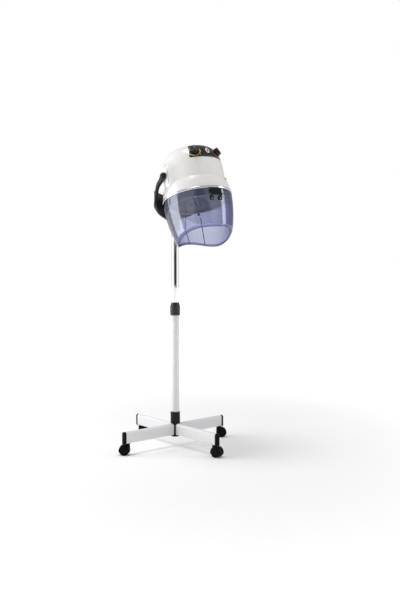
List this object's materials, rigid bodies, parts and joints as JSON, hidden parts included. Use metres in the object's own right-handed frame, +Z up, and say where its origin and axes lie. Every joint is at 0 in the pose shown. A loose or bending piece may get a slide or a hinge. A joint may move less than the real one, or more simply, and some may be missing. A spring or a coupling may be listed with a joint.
{
  "type": "hood hair dryer",
  "caption": "Salon hood hair dryer: tilting dome with a tinted flip-up visor in a swivelling yoke, on a telescopic column and a cross base with casters.",
  "frame": {"origin": "on the floor, under the middle of the object's plan at rest", "axes": "+Z up, the hood faces -Y, +X to the right of somebody looking along +Y; the column's axis is at x=0, y=0.024"},
  "size_m": [0.6502, 0.662, 1.4105],
  "materials": {
    "white_paint": "gloss powder coat",
    "white_shell": "smooth gloss moulding, warm white",
    "black_moulding": "satin moulded, slight texture",
    "lock_nut_grey": "satin moulded, grip flutes",
    "cap_black": "satin moulded",
    "caster_black": "satin-gloss moulded",
    "wheel_black": "moulded nylon with a matt tread",
    "axle_steel": "turned",
    "zinc_steel": "zinc plated",
    "fan_alloy": "satin",
    "grey_plastic": "satin moulded",
    "chrome": "mirror polished",
    "panel_black": "printed with coloured dial arcs",
    "knob_black": "moulded, ribbed grip",
    "switch_white": "smooth moulding",
    "switch_red": "smooth moulding",
    "mica": "laminated mica sheet",
    "visor_tint": "clear violet-blue tinted, polished"
  },
  "bodies": {
    "stand": {"base_hub": "black_moulding", "hub_plate": "black_moulding", "hub_bolt": "zinc_steel", "leg_front": "white_paint", "leg_right": "white_paint", "leg_rear": "white_paint", "leg_left": "white_paint", "leg_cap_front": "cap_black", "leg_cap_right": "cap_black", "leg_cap_rear": "cap_black", "leg_cap_left": "cap_black", "lower_tube": "white_paint", "lock_collet": "black_moulding"},
    "caster_front": {"caster_fork_front": "caster_black", "caster_axle_front": "axle_steel"},
    "wheel_front_a": {"caster_wheel_front_a": "wheel_black"},
    "wheel_front_b": {"caster_wheel_front_b": "wheel_black"},
    "caster_right": {"caster_fork_right": "caster_black", "caster_axle_right": "axle_steel"},
    "wheel_right_a": {"caster_wheel_right_a": "wheel_black"},
    "wheel_right_b": {"caster_wheel_right_b": "wheel_black"},
    "caster_rear": {"caster_fork_rear": "caster_black", "caster_axle_rear": "axle_steel"},
    "wheel_rear_a": {"caster_wheel_rear_a": "wheel_black"},
    "wheel_rear_b": {"caster_wheel_rear_b": "wheel_black"},
    "caster_left": {"caster_fork_left": "caster_black", "caster_axle_left": "axle_steel"},
    "wheel_left_a": {"caster_wheel_left_a": "wheel_black"},
    "wheel_left_b": {"caster_wheel_left_b": "wheel_black"},
    "lock_nut": {"lock_nut": "lock_nut_grey"},
    "column": {"upper_tube": "chrome"},
    "yoke": {"yoke": "black_moulding", "swivel_bush": "grey_plastic", "pivot_cap_left": "black_moulding", "pivot_cap_right": "black_moulding", "pivot_washer_left": "grey_plastic", "pivot_washer_right": "grey_plastic"},
    "hood": {"outer_shell": "white_shell", "control_panel": "panel_black", "chrome_ring": "chrome", "cord_gland": "black_moulding", "inner_drum": "grey_plastic", "diffuser_dish": "grey_plastic", "heater_element": "mica", "motor_bracket": "zinc_steel", "fan_motor": "zinc_steel", "timer_unit": "grey_plastic", "heat_switch": "grey_plastic", "switch_bezel": "switch_white", "visor_body": "visor_tint", "hinge_bracket": "black_moulding", "hinge_pin": "zinc_steel", "pivot_bolt_left": "zinc_steel", "pivot_bolt_right": "zinc_steel"},
    "timer_knob": {"timer_knob": "knob_black"},
    "heat_knob": {"heat_knob": "knob_black"},
    "power_rocker": {"power_rocker": "switch_red"},
    "fan": {"fan_rotor": "fan_alloy"},
    "visor_door": {"visor_door": "visor_tint", "hinge_leaf": "black_moulding"}
  },
  "joints": [
    {"name": "caster_swivel_front", "type": "hinge", "parent": "stand", "child": "caster_front", "pos_m": [0.02449, -0.25593, 0], "axis": [0, 0, 1], "continuous": true},
    {"name": "wheel_spin_front_a", "type": "hinge", "parent": "caster_front", "child": "wheel_front_a", "pos_m": [0.02812, -0.27048, 0.023], "axis": [0.9703, 0.2419, 0], "continuous": true},
    {"name": "wheel_spin_front_b", "type": "hinge", "parent": "caster_front", "child": "wheel_front_b", "pos_m": [0.02812, -0.27048, 0.023], "axis": [0.9703, 0.2419, 0], "continuous": true},
    {"name": "caster_swivel_right", "type": "hinge", "parent": "stand", "child": "caster_right", "pos_m": [0.27993, 0.04849, 0], "axis": [0, 0, 1], "continuous": true},
    {"name": "wheel_spin_right_a", "type": "hinge", "parent": "caster_right", "child": "wheel_right_a", "pos_m": [0.29207, 0.03967, 0.023], "axis": [0.5878, 0.809, 0], "continuous": true},
    {"name": "wheel_spin_right_b", "type": "hinge", "parent": "caster_right", "child": "wheel_right_b", "pos_m": [0.29207, 0.03967, 0.023], "axis": [0.5878, 0.809, 0], "continuous": true},
    {"name": "caster_swivel_rear", "type": "hinge", "parent": "stand", "child": "caster_rear", "pos_m": [-0.02449, 0.30393, 0], "axis": [0, 0, 1], "continuous": true},
    {"name": "wheel_spin_rear_a", "type": "hinge", "parent": "caster_rear", "child": "wheel_rear_a", "pos_m": [-0.01236, 0.29511, 0.023], "axis": [0.5878, 0.809, 0], "continuous": true},
    {"name": "wheel_spin_rear_b", "type": "hinge", "parent": "caster_rear", "child": "wheel_rear_b", "pos_m": [-0.01236, 0.29511, 0.023], "axis": [0.5878, 0.809, 0], "continuous": true},
    {"name": "caster_swivel_left", "type": "hinge", "parent": "stand", "child": "caster_left", "pos_m": [-0.27993, -0.00049, 0], "axis": [0, 0, 1], "continuous": true},
    {"name": "wheel_spin_left_a", "type": "hinge", "parent": "caster_left", "child": "wheel_left_a", "pos_m": [-0.29207, 0.00833, 0.023], "axis": [-0.5878, -0.809, 0], "continuous": true},
    {"name": "wheel_spin_left_b", "type": "hinge", "parent": "caster_left", "child": "wheel_left_b", "pos_m": [-0.29207, 0.00833, 0.023], "axis": [-0.5878, -0.809, 0], "continuous": true},
    {"name": "lock_nut_turn", "type": "hinge", "parent": "stand", "child": "lock_nut", "pos_m": [0, 0.024, 0.66], "axis": [0, 0, 1], "range_deg": [0, 270]},
    {"name": "column_slide", "type": "slide", "parent": "stand", "child": "column", "axis": [0, 0, 1], "range_m": [-0.3, 0.1]},
    {"name": "yoke_swivel", "type": "hinge", "parent": "column", "child": "yoke", "pos_m": [0, 0.024, 1.06], "axis": [0, 0, 1], "continuous": true},
    {"name": "hood_tilt", "type": "hinge", "parent": "yoke", "child": "hood", "pos_m": [0, -0.13121, 1.26499], "axis": [-1, 0, 0], "range_deg": [-5, 20]},
    {"name": "visor_flip", "type": "hinge", "parent": "hood", "child": "visor_door", "pos_m": [-0.01725, -0.32475, 1.18116], "axis": [-0.9945, 0.1007, -0.0279], "range_deg": [0, 90]},
    {"name": "timer_turn", "type": "hinge", "parent": "hood", "child": "timer_knob", "pos_m": [-0.05997, -0.21731, 1.37656], "axis": [0.4347, 0.687, -0.5822], "range_deg": [0, 300]},
    {"name": "heat_turn", "type": "hinge", "parent": "hood", "child": "heat_knob", "pos_m": [0.05997, -0.21731, 1.37656], "axis": [-0.4347, 0.687, -0.5822], "range_deg": [0, 270]},
    {"name": "power_rock", "type": "hinge", "parent": "hood", "child": "power_rocker", "pos_m": [0, -0.23172, 1.38055], "axis": [1, 0, 0], "range_deg": [0, 12]},
    {"name": "fan_spin", "type": "hinge", "parent": "hood", "child": "fan", "pos_m": [0, -0.157, 1.172], "axis": [0, 0.2672, 0.9636], "continuous": true}
  ]
}
